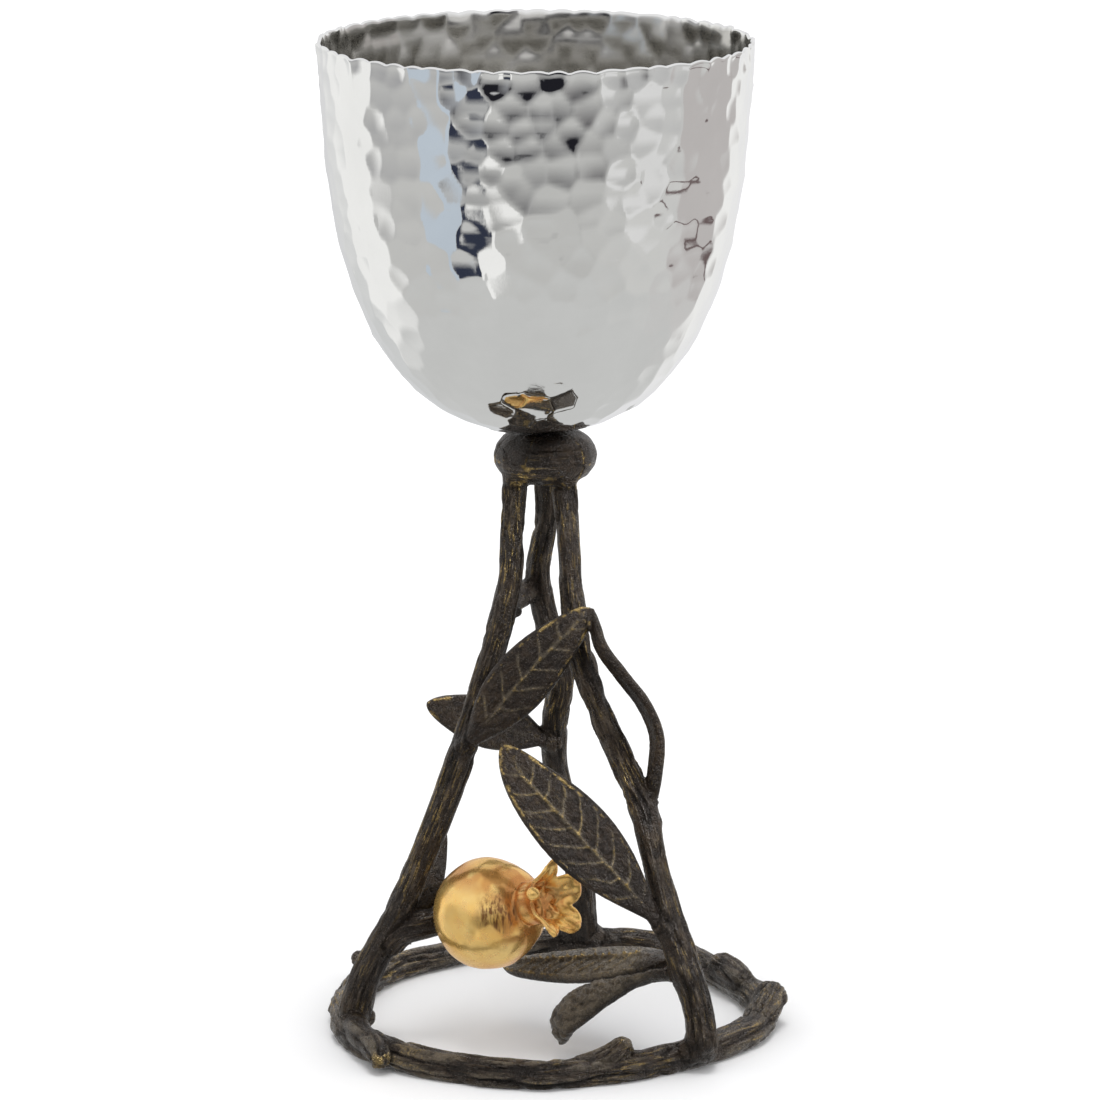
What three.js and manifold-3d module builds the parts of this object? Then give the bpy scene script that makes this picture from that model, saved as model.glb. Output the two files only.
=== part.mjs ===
// A kiddush cup: a hammered steel bowl on a cast bronze stand, with a gilded pomegranate.
// The stand is one casting: a ring of bark lies on the table, three branches rise from it to a
// cushion-shaped collar under the bowl, and leaves and cut twigs grow from the branches.
//
// Millimetres, +Z up. The origin is the middle of the footprint, on the table's surface.
// -Y is the front, where the pomegranate and the two broad leaves are.

import * as THREE from "three";
import { mergeVertices } from "three/addons/utils/BufferGeometryUtils.js";
import Module from "manifold-3d";

const wasm = await Module();
wasm.setup();

// Driving dimensions. X and Y are measured from the ring's own centre.
const CUP_HEIGHT = 190;
const JOINT_GAP = 0.3; // between one piece and the next
const FOOTPRINT_SHIFT = [-0.4, -0.8, 0]; // from the ring's own centre to the origin

const BOWL = {
  x: -3.4, // the bowl sits a little to the left of the ring's centre
  bottom: 116.7,
  rimRadius: 40.45,
  wall: 1.2,
  taper: 0.045, // outward lean of the upper wall, mm per mm
  depthPower: 3.0,
  radiusPower: 2.4,
  facets: 40, // hammered facets in a row
  outerRows: 17,
  innerRows: 12,
  rimWave: 0.3,
};

const COLLAR = {
  x: -1.65,
  radius: 9.7,
  bottom: 106.4,
  top: 116.4,
  roundness: 0.6,
  lobes: 8,
  lobeDepth: 0.3,
  sides: 24,
  rows: 7,
};

// The ring bends like a real twig: [azimuth in degrees from +X, radius, radius of the twig].
const RING_BENDS = [
  [0, 40.4, 3],
  [20, 38.6, 2.8],
  [38, 38.2, 2.8],
  [62, 41.6, 2.9],
  [86, 40.2, 2.8],
  [106, 39.4, 2.7],
  [124, 38.6, 2.5],
  [150, 39.8, 2.6],
  [178, 40.2, 2.8],
  [205, 41.3, 2.9],
  [224, 40.2, 2.8],
  [245, 38.8, 2.7],
  [267, 38.6, 2.7],
  [283, 36.7, 2.8],
  [302, 36.4, 2.8],
  [322, 37.6, 2.8],
  [342, 39.9, 2.9],
];
const GROUND_OFF = 0.5; // taken off the ring's underside, so that it stands flat
const RING_SIDES = 8;
const RING_STEPS = 58;

// Branches: [x, y, z, radius] along each, from the collar down or from the parent outwards.
const BRANCHES = {
  leftLeg: [
    [-7.2, -2.8, 110, 2.4],
    [-7.7, -4, 101, 2.1],
    [-8.2, -5.2, 90, 2.2],
    [-10.4, -6.8, 79, 2.4],
    [-14, -8.4, 67, 2.3],
    [-18.1, -9.7, 54, 2.6],
    [-23.3, -10.6, 39.7, 2.7],
    [-30, -11.3, 24, 2.7],
    [-35.8, -11.6, 12.4, 2.9],
    [-38.6, -11.8, 3.2, 3.1],
  ],
  rightLeg: [
    [1.8, -3.8, 110, 2.5],
    [2.4, -5, 100, 2.05],
    [3.3, -7.8, 87, 2.15],
    [4.9, -10.6, 76, 2.25],
    [9, -15, 64.6, 2.35],
    [12.9, -17.8, 56.6, 2.35],
    [16.8, -20.8, 48, 2.75],
    [18.6, -23, 39.8, 2.35],
    [21.4, -26, 29, 2.6],
    [24.8, -27.9, 19, 2.85],
    [27.2, -29, 10.5, 2.8],
    [27.8, -29.6, 3.2, 3.2],
  ],
  backLeg: [
    [-1.7, 4.6, 110, 2.5],
    [-1.5, 6.2, 98, 2.05],
    [-3, 8.4, 86, 2.3],
    [-0.9, 11, 74, 2.2],
    [1.4, 14.2, 64, 2.4],
    [0.2, 18.2, 54.5, 2.4],
    [0.1, 22.6, 45, 2.4],
    [2.6, 28, 32, 2.5],
    [5, 34, 18, 2.7],
    [5.8, 39.6, 3.4, 3.1],
  ],
  crossTwig: [
    [-9.4, -6, 84.4, 1.9],
    [-6, -1, 83.6, 2.5],
    [-3, 7.6, 82, 2],
  ],
  fruitStub: [
    [-32.4, -11.6, 18, 2.5],
    [-29.4, -11.8, 21.8, 2.4],
    [-26, -11.6, 23, 2.4],
    [-20, -8.4, 23.2, 2.2],
  ],
  frontLeftEnd: [
    [-38.8, -10.5, 3.4, 2.4],
    [-36.6, -20.4, 3.9, 2.5],
    [-33.2, -28.6, 3.5, 2.2],
    [-32.3, -31.6, 3, 1.9],
  ],
  frontEnd: [
    [2.6, -37.2, 2.6, 2.3],
    [9, -35, 3.8, 2.4],
    [14.2, -33.8, 7.2, 2.1],
  ],
  rightEnd: [
    [38.2, -12.4, 2.6, 2.3],
    [40.8, -5.2, 4.6, 3],
    [42.5, -0.4, 5.9, 3.1],
  ],
  backRightEnd: [
    [37.6, 8.4, 3.6, 2.4],
    [34.4, 15.2, 4.2, 2.8],
    [31.4, 19.6, 4.5, 2.6],
  ],
  backLeftBud: [
    [-34.6, 20.4, 3.2, 1.8],
    [-39.6, 24.4, 4.6, 1.6],
  ],
  innerLeftBud: [
    [-38, -11, 3.6, 2.4],
    [-34.6, -8.4, 3.8, 2],
  ],
};
const BRANCH_SIDES = 8;
const BRANCH_STEP = 4.8; // mm between the sections of a branch
const END_ROUNDING = 0.55; // of the radius, at a branch's end

// Leaves: the midrib from stalk to tip, the side that faces out, half the blade's width, its
// thickness, how steeply its halves rise from the midrib, the radius of its stalk, and the share of
// its length at which it is widest.
const LEAVES = {
  upperFront: {
    midrib: [
      [-17.4, -10.4, 57],
      [-13.8, -12.3, 61.6],
      [-8.7, -13.6, 68.4],
      [-2.6, -14.6, 75.8],
      [3.4, -14.5, 82],
      [6.9, -13.2, 85.2],
    ],
    face: [0.15, -1, 0.25],
    halfWidth: 5.6,
    thickness: 1.8,
    fold: 0.08,
    stalk: 2.3,
    widest: 0.5,
  },
  lowerFront: {
    midrib: [
      [22, -26.2, 25.2],
      [16.3, -28, 32.3],
      [10.1, -29.6, 39.8],
      [2, -30, 48.8],
      [-4.8, -28.6, 56],
      [-9.6, -26.2, 62.2],
    ],
    face: [0.1, -1, 0.25],
    halfWidth: 6.6,
    thickness: 2,
    fold: 0.08,
    stalk: 2.2,
    widest: 0.57,
  },
  upperBack: {
    midrib: [
      [0.4, 19.4, 50],
      [-5.6, 16.5, 52.4],
      [-11.6, 11.6, 55.8],
      [-18, 6.8, 59.2],
      [-24.2, 3, 62.2],
    ],
    face: [-0.2, -0.95, 0.2],
    halfWidth: 5.2,
    thickness: 1.9,
    fold: 0.05,
    stalk: 2.6,
    widest: 0.5,
  },
  rightLoop: {
    midrib: [
      [16.9, -21, 47],
      [18.6, -20, 54.6],
      [19, -18.2, 61.6],
      [16.6, -17.2, 67.6],
      [12.4, -16.5, 73.2],
      [8.6, -15.4, 78.6],
      [7, -13.6, 85.4],
    ],
    face: [0.93, 0.2, 0.3],
    halfWidth: 3.7,
    thickness: 2,
    fold: 0.15,
    stalk: 1.9,
    widest: 0.5,
  },
  lowerBack: {
    midrib: [
      [-29.2, -9.6, 19],
      [-27, -7.4, 24],
      [-25, -3.6, 30],
      [-23, -0.4, 34.6],
      [-21.2, 1.4, 38],
    ],
    face: [0.1, -0.95, 0.2],
    halfWidth: 4.3,
    thickness: 1.6,
    fold: 0.06,
    stalk: 2.2,
    widest: 0.5,
  },
  insideFlat: {
    midrib: [
      [24.6, -26.8, 18.8],
      [19.6, -21.8, 18.8],
      [12.4, -16, 16.8],
      [3, -9, 14],
      [-9.6, -1, 10.8],
    ],
    face: [-0.15, -0.25, 1],
    halfWidth: 5.8,
    thickness: 2.3,
    fold: -0.1,
    stalk: 2,
    widest: 0.5,
  },
  insideCurled: {
    midrib: [
      [24.8, -27.6, 18.6],
      [18.6, -25.6, 17.3],
      [11.8, -24.2, 14.6],
      [6.1, -23.6, 11.8],
      [1.5, -23, 7.4],
      [1.4, -22, 2.6],
    ],
    face: [-0.7, -0.45, 0.6],
    halfWidth: 4.1,
    thickness: 3.1,
    fold: -0.1,
    stalk: 2,
    widest: 0.73,
  },
};
const LEAF_SIDES = 12;
const LEAF_STEPS = 11;
const RIB_HEIGHT = 0.35; // of a leaf's midrib above its face

const FRUIT = {
  centre: [-12.3, -14, 26.1],
  radius: 10.55,
  azimuth: -37.7, // where the crown points, in degrees from +X
  elevation: 21,
  sides: 22,
  rows: 12,
};
const CROWN = {
  neckRadius: 4.2,
  start: 8.8, // along the fruit's axis from its centre
  straight: 3.4, // the wall's straight part, before it bends outward
  bend: 0.2, // radians for each millimetre beyond that
  notchLength: 6,
  wall: 1,
  floor: 1.6, // depth of metal at the bottom of the cup
  segments: 30,
  rows: 5,
  // Angle round the fruit's axis, length of the wall at the tip, half angle, and bluntness.
  sepals: [
    [25, 10, 44, 2.2],
    [103, 10, 44, 2.2],
    [160, 9.8, 34, 1.3],
    [244, 9, 44, 1.8],
    [330, 9.8, 38, 1.3],
  ],
};

const MATERIALS = {
  steel: new THREE.MeshStandardMaterial({ color: 0xd9d9d7, metalness: 1, roughness: 0.08 }),
  bronze: new THREE.MeshStandardMaterial({ color: 0x2f2820, metalness: 0.8, roughness: 0.42 }),
  gilt: new THREE.MeshStandardMaterial({ color: 0xd9a552, metalness: 1, roughness: 0.24 }),
};

const { degToRad, radToDeg, clamp, lerp, smoothstep } = THREE.MathUtils;
const vector = ([x, y, z]) => new THREE.Vector3(x, y, z);
const power = (value, exponent) => Math.sign(value) * Math.abs(value) ** exponent;

// Moves every vertex of a geometry to where move(vertex) puts it.
function reshape(geometry, move) {
  const positions = geometry.getAttribute("position");
  const vertex = new THREE.Vector3();
  for (let i = 0; i < positions.count; i++) {
    const moved = move(vertex.fromBufferAttribute(positions, i));
    positions.setXYZ(i, moved.x, moved.y, moved.z);
  }
  return geometry;
}

// A closed geometry as a manifold-3d solid.
function solidOf(geometry) {
  const bare = geometry.clone();
  bare.deleteAttribute("normal");
  bare.deleteAttribute("uv");
  const merged = mergeVertices(bare, 1e-4);
  const vertProperties = new Float32Array(merged.getAttribute("position").array);
  const triVerts = new Uint32Array(merged.index.array);
  return new wasm.Manifold(new wasm.Mesh({ numProp: 3, vertProperties, triVerts }));
}

// A manifold-3d solid as a geometry.
function geometryOf(solid) {
  const mesh = solid.getMesh();
  return new THREE.BufferGeometry()
    .setAttribute("position", new THREE.BufferAttribute(mesh.vertProperties, 3))
    .setIndex(new THREE.BufferAttribute(mesh.triVerts, 1));
}

// A closed solid swept along a smooth path, with a section at each share of the path's length in
// stations. section(share, place, angle) gives the offset [across, out] of a section's point; place
// counts along the list of points, and out is the direction nearest to face.
function sweep(points, face, stations, sides, section) {
  const curve = new THREE.CatmullRomCurve3(points.map(vector), false, "centripetal");
  const frames = stations.map((share) => {
    const tangent = curve.getTangentAt(share);
    const out = vector(face).projectOnPlane(tangent).normalize();
    const across = new THREE.Vector3().crossVectors(tangent, out);
    const place = curve.getUtoTmapping(share) * (points.length - 1);
    return { share, place, out, across, centre: curve.getPointAt(share) };
  });
  const rod = new THREE.CylinderGeometry(1, 1, 1, sides, stations.length - 1);
  return reshape(rod, ({ x, y, z }) => {
    const frame = frames[Math.round((y + 0.5) * (frames.length - 1))];
    const [across, out] = section(frame.share, frame.place, Math.atan2(z, x));
    const size = Math.hypot(x, z);
    return frame.centre
      .clone()
      .addScaledVector(frame.across, across * size)
      .addScaledVector(frame.out, out * size);
  });
}

// Stations from 0 to 1: even ones, or closer together towards both ends.
const evenStations = (steps) => Array.from({ length: steps + 1 }, (_, i) => i / steps);
const closingStations = (steps) => evenStations(steps).map((s) => (1 - Math.cos(Math.PI * s)) / 2);

// The value at a fractional place in a list.
function between(values, place) {
  const i = Math.min(Math.floor(place), values.length - 2);
  return lerp(values[i], values[i + 1], place - i);
}

function pathLength(points) {
  return points.slice(1).reduce((sum, p, i) => sum + vector(p).distanceTo(vector(points[i])), 0);
}

// A round branch with worn edges at both ends.
function branch(points) {
  const radii = points.map((point) => point[3]);
  const length = pathLength(points);
  const stations = evenStations(Math.max(3, Math.round(length / BRANCH_STEP)));
  const edge = (END_ROUNDING * radii.at(-1)) / length;
  stations.splice(1, 0, edge);
  stations.splice(-1, 0, 1 - edge);
  const upright = Math.abs(points.at(-1)[2] - points[0][2]) > 0.6 * length;
  const section = (share, place, angle) => {
    const end = share === 0 || share === 1;
    const radius = between(radii, place) * (end ? END_ROUNDING : 1);
    return [radius * Math.cos(angle), radius * Math.sin(angle)];
  };
  return solidOf(sweep(points, upright ? [0, -1, 0] : [0, 0, 1], stations, BRANCH_SIDES, section));
}

// A leaf's width along its length, as a share of its widest: slow from the stalk, blunt at the tip.
function bladeShape(share, widest) {
  const even = clamp(share, 0.001, 0.999) ** (Math.log(0.5) / Math.log(widest));
  return Math.sin(Math.PI * even) ** (1.15 - 0.6 * even);
}

function leaf({ midrib, face, halfWidth, thickness, fold, stalk, widest }) {
  const section = (share, place, angle) => {
    const blade = bladeShape(share, widest);
    const stalkShare = Math.max(0, 1 - share / 0.4) ** 1.3;
    const tipShare = smoothstep(share, 0.9, 1);
    const halfAcross = Math.max(stalk * stalkShare, halfWidth * blade, 0.6);
    const halfThick = lerp(lerp(thickness / 2, 0.5, tipShare), stalk, stalkShare);
    const squareness = lerp(0.7, 1, stalkShare);
    const across = halfAcross * power(Math.cos(angle), squareness);
    const rib = Math.sin(angle) > 0.99 ? RIB_HEIGHT * (1 - tipShare) : 0;
    return [across, halfThick * power(Math.sin(angle), squareness) + fold * Math.abs(across) + rib];
  };
  return solidOf(sweep(midrib, face, closingStations(LEAF_STEPS), LEAF_SIDES, section));
}

// The ring's radius and its twig's radius at an azimuth, smooth through its bends.
function ringAt(degrees) {
  const azimuth = (degrees + 360) % 360;
  const bends = [...RING_BENDS, [360, ...RING_BENDS[0].slice(1)]];
  const next = bends.findIndex((bend) => bend[0] > azimuth);
  const [from, to] = [bends[next - 1], bends[next]];
  const even = (azimuth - from[0]) / (to[0] - from[0]);
  const share = (even + smoothstep(even, 0, 1)) / 2;
  return [lerp(from[1], to[1], share), lerp(from[2], to[2], share)];
}

function ring() {
  const middle = 40;
  const torus = new THREE.TorusGeometry(middle, 1, RING_SIDES, RING_STEPS);
  reshape(torus, ({ x, y, z }) => {
    const azimuth = Math.atan2(y, x);
    const [radius, twig] = ringAt(radToDeg(azimuth));
    const r = radius + twig * (Math.hypot(x, y) - middle);
    const height = twig * (1 + z) - GROUND_OFF;
    return new THREE.Vector3(r * Math.cos(azimuth), r * Math.sin(azimuth), height);
  });
  return solidOf(torus);
}

// A solid of revolution about +Z, from a profile of [radius, height].
function turned(profile, sides) {
  const points = profile.map(([r, z]) => new THREE.Vector2(r, z));
  return new THREE.LatheGeometry(points, sides).rotateX(Math.PI / 2);
}

// The cushion under the bowl, drawn in by shallow seams.
function collar() {
  const { x, radius, bottom, top, roundness, lobes, lobeDepth, sides, rows } = COLLAR;
  const profile = Array.from({ length: rows + 1 }, (_, i) => {
    const angle = Math.PI * (i / rows - 0.5);
    const r = i % rows === 0 ? 0 : radius * Math.cos(angle) ** roundness;
    return [r, lerp(bottom, top, (1 + Math.sin(angle)) / 2)];
  });
  const cushion = reshape(turned(profile, sides), (v) => {
    const seam = 0.5 - 0.5 * Math.cos(lobes * Math.atan2(v.y, v.x));
    const shrink = 1 - (seam * lobeDepth) / radius;
    return new THREE.Vector3(v.x * shrink, v.y * shrink, v.z);
  });
  return solidOf(cushion.translate(x, 0, 0));
}

// A point of the bowl's wall, inset from the outer surface: angle 0 is the rim and 90 the axis.
function bowlPoint(angle, inset) {
  const { bottom, rimRadius, taper, depthPower, radiusPower } = BOWL;
  const depth = CUP_HEIGHT - bottom;
  const widest = rimRadius - taper * depth - inset;
  const down = Math.sin(angle) ** (2 / depthPower);
  const z = CUP_HEIGHT - (depth - inset) * down;
  const r = widest * Math.max(0, Math.cos(angle)) ** (2 / radiusPower) + taper * (z - bottom);
  return new THREE.Vector2(angle < Math.PI / 2 ? r : 0, z);
}

// The wall from the rim to the axis as [radius, height], in rows of equal depth along the surface.
function bowlWall(inset, rows) {
  const fine = evenStations(400).map((s) => bowlPoint((Math.PI / 2) * s, inset));
  const reached = [0];
  for (let i = 1; i < fine.length; i++) reached.push(reached[i - 1] + fine[i].distanceTo(fine[i - 1]));
  const length = reached.at(-1);
  return evenStations(rows).map((s) => {
    const { x, y } = fine[reached.findIndex((distance) => distance >= s * length - 1e-9)];
    return [x, y];
  });
}

// The bowl: a thin wall in rows of flat facets, each row half a facet round from the last.
function bowl() {
  const { x, wall, facets, outerRows, innerRows, rimWave } = BOWL;
  const outside = bowlWall(0, outerRows).reverse();
  const inside = bowlWall(wall, innerRows);
  const profile = [...outside, ...inside];
  const rows = profile.map((_, i) => Math.min(i, outerRows) - Math.max(0, i - outerRows - 1));
  const layout = profile.map(([r], i) => [r === 0 ? 0 : 1, i]);
  const shell = reshape(turned(layout, facets), (v) => {
    const i = Math.round(v.z);
    const [r, z] = profile[i];
    const facet = Math.round((Math.atan2(v.y, v.x) / (2 * Math.PI)) * facets);
    const azimuth = ((facet + rows[i] / 2) * 2 * Math.PI) / facets;
    const lift = z === CUP_HEIGHT ? -rimWave * (facet % 2 === 0 ? 0 : 1) : 0;
    return new THREE.Vector3(r * Math.cos(azimuth), r * Math.sin(azimuth), z + lift);
  });
  return shell.translate(x, 0, 0);
}

// The whole casting: joined, cut back from the bowl and the fruit, and ground flat underneath.
function stand() {
  const parts = [ring(), collar()];
  parts.push(...Object.values(BRANCHES).map(branch));
  parts.push(...Object.values(LEAVES).map(leaf));

  const seatWall = bowlWall(-JOINT_GAP, BOWL.outerRows).reverse();
  const seat = turned([...seatWall, [0, CUP_HEIGHT]], BOWL.facets).translate(BOWL.x, 0, 0);
  const socket = new THREE.SphereGeometry(FRUIT.radius + JOINT_GAP, FRUIT.sides, FRUIT.rows);
  socket.translate(...FRUIT.centre);
  const ground = new THREE.BoxGeometry(200, 200, 20).translate(0, 0, -10);

  const cast = parts.reduce((sum, part) => sum.add(part));
  return geometryOf([seat, socket, ground].reduce((left, cut) => left.subtract(solidOf(cut)), cast));
}

// The length of the crown's wall from neck to edge, longest at each sepal's tip.
function crownLength(azimuth) {
  const { notchLength, sepals } = CROWN;
  const reach = ([angle, length, halfAngle, bluntness]) => {
    const offset = Math.abs(((radToDeg(azimuth) - angle + 900) % 360) - 180) / halfAngle;
    return lerp(notchLength, length, 1 - Math.min(1, offset) ** bluntness);
  };
  return Math.max(...sepals.map(reach));
}

// The crown's wall at a share of that length: [radius, distance along the axis].
function crownPoint(share, inset, azimuth) {
  const { neckRadius, start, straight, bend } = CROWN;
  const along = share * crownLength(azimuth);
  const lean = bend * Math.max(0, along - straight);
  const r = neckRadius + (1 - Math.cos(lean)) / bend - inset * Math.cos(lean);
  return [r, start + Math.min(along, straight) + Math.sin(lean) / bend + inset * Math.sin(lean)];
}

// The crown, a bell with sepals that curl outward, round +Z.
function crown() {
  const { start, wall, floor, segments, rows } = CROWN;
  const shares = evenStations(rows - 1);
  const wallRows = [...shares.map((s) => [s, 0]), ...shares.slice(1).reverse().map((s) => [s, wall])];
  const last = wallRows.length;
  // The lathe lays out one row of vertices for each row of the wall, and a point at each end.
  const layout = [[0, -1], ...wallRows.map((_, i) => [1, i]), [0, last]];
  return reshape(turned(layout, segments), (v) => {
    const row = Math.round(v.z);
    if (row < 0) return new THREE.Vector3(0, 0, start - 2);
    if (row === last) return new THREE.Vector3(0, 0, start + floor);
    const azimuth = Math.atan2(v.y, v.x);
    const [r, z] = crownPoint(...wallRows[row], azimuth);
    return new THREE.Vector3(r * Math.cos(azimuth), r * Math.sin(azimuth), z);
  });
}

// The pomegranate, round its own centre, with its crown towards +Z.
function fruit() {
  const { radius, sides, rows } = FRUIT;
  const ball = new THREE.SphereGeometry(radius, sides, rows).rotateX(Math.PI / 2);
  return geometryOf(solidOf(ball).add(solidOf(crown())));
}

function named(name, geometry, material) {
  const mesh = new THREE.Mesh(geometry, material);
  mesh.name = name;
  return mesh;
}

const pomegranate = named("pomegranate", fruit(), MATERIALS.gilt);
pomegranate.position.set(...FRUIT.centre);
pomegranate.rotation.set(0, degToRad(90 - FRUIT.elevation), degToRad(FRUIT.azimuth), "ZYX");

const cup = new THREE.Group();
cup.position.set(...FOOTPRINT_SHIFT);
cup.add(named("branch_stand", stand(), MATERIALS.bronze));
cup.add(named("bowl", bowl(), MATERIALS.steel));
cup.add(pomegranate);

export default cup;
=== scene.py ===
"""A kiddush cup: a hammered steel bowl on a cast bronze stand, with a gilded pomegranate.

Every shape is worked out in millimetres in the ring's own frame, whose centre is a little off the
middle of the footprint, and becomes a mesh in metres in the CAD model's frame.
"""

import math
from types import SimpleNamespace

import bmesh
import bpy
import numpy as np
from mathutils import Matrix, Vector
from mathutils.kdtree import KDTree


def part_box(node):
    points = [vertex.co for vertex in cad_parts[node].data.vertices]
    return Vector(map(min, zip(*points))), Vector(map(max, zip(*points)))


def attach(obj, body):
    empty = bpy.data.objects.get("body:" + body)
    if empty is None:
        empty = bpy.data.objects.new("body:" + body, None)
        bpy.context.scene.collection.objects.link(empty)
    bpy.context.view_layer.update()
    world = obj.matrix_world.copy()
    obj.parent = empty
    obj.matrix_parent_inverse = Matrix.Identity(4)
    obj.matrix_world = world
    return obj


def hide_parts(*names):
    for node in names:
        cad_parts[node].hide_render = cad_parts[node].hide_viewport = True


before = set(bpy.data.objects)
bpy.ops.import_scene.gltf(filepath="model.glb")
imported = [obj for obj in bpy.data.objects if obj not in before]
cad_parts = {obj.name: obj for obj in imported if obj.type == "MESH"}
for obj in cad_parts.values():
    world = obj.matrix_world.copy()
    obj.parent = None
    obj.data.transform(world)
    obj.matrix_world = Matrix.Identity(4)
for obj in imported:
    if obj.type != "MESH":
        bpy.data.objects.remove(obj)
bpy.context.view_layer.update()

MM = 0.001
BOWL_BOX = [np.array(corner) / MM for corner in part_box("bowl")]
RING_CENTRE = np.array([-0.4, -0.8, 0.0])  # the ring's own centre in the CAD model's frame

CUP_HEIGHT = float(BOWL_BOX[1][2])
BOWL = SimpleNamespace(
    centre=(BOWL_BOX[0] + BOWL_BOX[1]) / 2 - RING_CENTRE,
    bottom=float(BOWL_BOX[0][2]),
    rim_radius=40.3,
    wall=1.1,
    taper=0.045,
    depth_power=3.0,
    radius_power=2.4,
    columns=512,
    outer_rows=118,
    inner_rows=84,
    mark=5.0,  # from one hammer mark to the next
    mark_depth=0.165,
    mark_tilt=0.022,
    rim_lobes=54,
    rim_wave=0.6,
    wave_reach=2.5,  # how far below the rim its wave dies away
    lip=0.35,  # radius of the rounded edge
    thinning=9,  # how far below the rim the wall starts to thin towards the lip
)
COLLAR = SimpleNamespace(
    x=-1.65, radius=9.7, bottom=106.4, top=116.6, roundness=0.6,
    seams=(-168, -112, -42, 8, 62, 130),  # azimuths in degrees
)

# The ring bends like a real twig: azimuth in degrees from +X, radius, radius of the twig.
RING_BENDS = [
    (0, 40.4, 3), (20, 38.6, 2.8), (38, 38.2, 2.8), (62, 41.6, 2.9), (86, 40.2, 2.8),
    (106, 39.4, 2.7), (124, 38.6, 2.5), (150, 39.8, 2.6), (178, 40.2, 2.8), (205, 41.3, 2.9),
    (224, 40.2, 2.8), (245, 38.8, 2.7), (267, 38.6, 2.7), (283, 36.7, 2.8), (302, 36.4, 2.8),
    (322, 37.6, 2.8), (342, 39.9, 2.9),
]
RING_BARK = 1.25
GROUND_OFF = 0.5  # how far the ring is sunk, so that it stands on a flat

# Branches: how deep the bark is cut, and x, y, z and radius along each.
BRANCHES = {
    "left_leg": (0.75, [
        (-7.2, -2.8, 110, 2.4), (-7.7, -4, 101, 2.1), (-8.2, -5.2, 90, 2.2), (-10.4, -6.8, 79, 2.4),
        (-14, -8.4, 67, 2.3), (-18.1, -9.7, 54, 2.6), (-23.3, -10.6, 39.7, 2.7),
        (-30, -11.3, 24, 2.7), (-35.8, -11.6, 12.4, 2.9), (-38.6, -11.8, 3.2, 3.1),
    ]),
    "right_leg": (0.85, [
        (1.8, -3.8, 110, 2.5), (2.4, -5, 100, 2.05), (3.3, -7.8, 87, 2.15), (4.9, -10.6, 76, 2.25),
        (9, -15, 64.6, 2.35), (12.9, -17.8, 56.6, 2.35), (16.8, -20.8, 48, 2.75),
        (18.6, -23, 39.8, 2.35), (21.4, -26, 29, 2.6), (24.8, -27.9, 19, 2.85),
        (27.2, -29, 10.5, 2.8), (27.8, -29.6, 3.2, 3.2),
    ]),
    "back_leg": (0.75, [
        (-1.7, 4.6, 110, 2.5), (-1.5, 6.2, 98, 2.05), (-3, 8.4, 86, 2.3), (-0.9, 11, 74, 2.2),
        (1.4, 14.2, 64, 2.4), (0.2, 18.2, 54.5, 2.4), (0.1, 22.6, 45, 2.4), (2.6, 28, 32, 2.5),
        (5, 34, 18, 2.7), (5.8, 39.6, 3.4, 3.1),
    ]),
    "cross_twig": (0.4, [
        (-9.2, -5.6, 83.2, 1.9), (-8, 0.6, 83.1, 2.3), (-6.4, 5.8, 83, 2.5), (-4.4, 9.2, 83, 2.1),
    ]),
    "cross_knot": (0.4, [(-8.8, -4.6, 82.2, 1.6), (-6.8, -3.6, 82.3, 1.2), (-6.1, -3.2, 82.4, 1)]),
    "fruit_stub": (0.8, [
        (-32.4, -11.6, 17.4, 2.8), (-29.4, -11.8, 21.2, 2.8), (-26, -11.6, 22.5, 2.8),
        (-20, -8.4, 22.8, 2.6),
    ]),
    "front_left_end": (1.2, [
        (-38.8, -10.5, 3.4, 2.4), (-36.6, -20.4, 3.9, 2.5), (-33.4, -28.4, 3.7, 2.2),
        (-32.3, -32.7, 2.7, 1.9),
    ]),
    "front_end": (1.1, [(2.6, -37.2, 2.6, 2.3), (9, -35, 3.8, 2.4), (14.2, -33.8, 7.2, 2.1)]),
    "right_end": (1.3, [(38.2, -12.4, 2.6, 2.3), (40.8, -5.2, 4.6, 3), (42.5, -0.4, 5.9, 3.1)]),
    "back_right_end": (1.3, [(37.6, 8.4, 3.6, 2.4), (34.4, 15.2, 4.2, 2.8), (31.4, 19.6, 4.5, 2.6)]),
    "right_foot": (0.5, [(23.2, -29, 2.1, 2.2), (26.8, -28.9, 4.3, 2.7), (29.6, -26.2, 2, 2.1)]),
    "back_foot": (0.5, [(0.8, 39.8, 2.1, 2.1), (5.6, 39.2, 5, 2.8), (10.4, 38.6, 2.1, 2.1)]),
    "back_left_bud": (0.6, [(-34.6, 20.4, 3.2, 1.8), (-39.6, 24.4, 4.6, 1.6)]),
    "inner_left_bud": (0.6, [(-38, -11, 3.6, 2.4), (-34.6, -8.4, 3.8, 2)]),
}
BRANCH_SIDES = 20

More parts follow.
